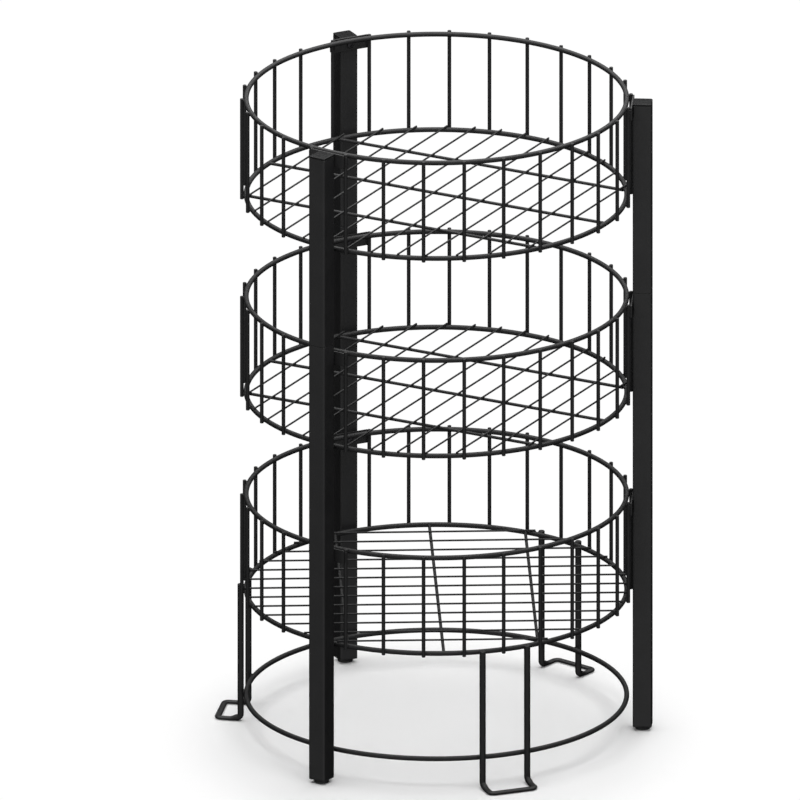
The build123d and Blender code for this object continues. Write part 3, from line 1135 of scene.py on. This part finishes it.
def make_floor():
    """A wide pale floor that fades into the white backdrop. The rack itself isn't lit by it."""
    mesh = bpy.data.meshes.new("studio_floor")
    corners = ((-1, -1), (1, -1), (1, 1), (-1, 1))
    points = [(x * FLOOR_REACH, y * FLOOR_REACH, -FLOOR_DROP) for x, y in corners]
    mesh.from_pydata(points, [], [(0, 1, 2, 3)])
    material = bpy.data.materials.new("pale_floor")
    material.use_nodes = True
    nodes = Nodes(material.node_tree)
    place = nodes.add("ShaderNodeTexCoord").outputs["Object"]
    oval = nodes.add("ShaderNodeMapping", {"Vector": place}, Scale=(1, FLOOR_STRETCH, 1))
    oval.inputs["Location"].default_value = (-FLOOR_CENTRE.x, -FLOOR_CENTRE.y * FLOOR_STRETCH, 0)
    away = nodes.add("ShaderNodeVectorMath", {0: oval.outputs["Vector"]}, operation="LENGTH")
    fade = nodes.ramp(away.outputs["Value"], FLOOR_LIT, FLOOR_BRIGHT, kind="SMOOTHSTEP")
    near = nodes.add("ShaderNodeBsdfDiffuse", Color=(FLOOR_WHITE, FLOOR_WHITE, FLOOR_WHITE, 1))
    far = nodes.add("ShaderNodeEmission", Color=(1, 1, 1, 1), Strength=FLOOR_GLOW)
    mix = nodes.add("ShaderNodeMixShader", {"Fac": fade, 1: near.outputs[0], 2: far.outputs[0]})
    nodes.add("ShaderNodeOutputMaterial", {"Surface": mix.outputs[0]})
    mesh.materials.append(material)
    floor = bpy.data.objects.new("studio_floor", mesh)
    bpy.context.scene.collection.objects.link(floor)
    floor.visible_glossy = False
    floor.visible_diffuse = False
    floor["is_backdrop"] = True


def make_light(name, location, aim, size, power):
    data = bpy.data.lights.new(name, "AREA")
    data.shape = "DISK"
    data.size = size
    data.energy = power
    light = bpy.data.objects.new(name, data)
    light.location = location
    light.rotation_euler = (Vector(aim) - Vector(location)).to_track_quat("-Z", "Y").to_euler()
    bpy.context.scene.collection.objects.link(light)


SKY_AZIMUTH = CAMERA_AZIMUTH - math.radians(4.0)
SKY_ELEVATION = math.radians(10.0)
SKY_DIM = 0.0
SKY_FRONT = 0.55
SKY_EDGE = -0.1  # cosine of the angle from the front where the bright part ends
SKY_FULL = 0.5  # and where it is at its brightest


def make_sky():
    """A soft sky that lights the rack from the front, as a large diffuser does. It is seen plain white."""
    world = bpy.data.worlds.new("studio")
    bpy.context.scene.world = world
    world.use_nodes = True
    nodes = Nodes(world.node_tree)
    way = nodes.add("ShaderNodeTexCoord").outputs["Generated"]
    a, e = SKY_AZIMUTH, SKY_ELEVATION
    toward = nodes.add("ShaderNodeVectorMath", {0: way}, operation="DOT_PRODUCT")
    toward.inputs[1].default_value = (math.sin(a) * math.cos(e), -math.cos(a) * math.cos(e), math.sin(e))
    strengths = (SKY_DIM, SKY_FRONT)
    glow = nodes.ramp(toward.outputs["Value"], SKY_EDGE, SKY_FULL, to=strengths, kind="SMOOTHSTEP")
    light = nodes.add("ShaderNodeBackground", {"Strength": glow})
    seen = nodes.add("ShaderNodeBackground", Color=(1, 1, 1, 1), Strength=1.0)
    ray = nodes.add("ShaderNodeLightPath").outputs["Is Camera Ray"]
    mix = nodes.add("ShaderNodeMixShader", {"Fac": ray, 1: light.outputs[0], 2: seen.outputs[0]})
    nodes.add("ShaderNodeOutputWorld", {"Surface": mix.outputs[0]})


LAMP_PLACE = (0.1, 0.4, 2.9)
LAMP_SIZE = 4.4
LAMP_POWER = 137.0


def make_stage():
    make_camera()
    make_floor()
    make_sky()
    make_light("overhead", LAMP_PLACE, (0, 0, 0), LAMP_SIZE, LAMP_POWER)
    settings = bpy.context.scene.view_settings
    settings.view_transform = "Standard"
    settings.look = "None"


# ---------------------------------------------------------------- the rack

make_stage()
for tier in TIERS:
    make_basket(tier)
    make_fixings(tier)
for name in SIDES:
    make_post(name)
base = RingWire("floor_ring")
make_ring("floor_ring_wire", base, "frame", FLOOR_BUTT)
make_legs((RingWire("bottom_lower_ring"), base))

sizes = [[list(corner) for corner in box] for box in (cad_box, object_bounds())]
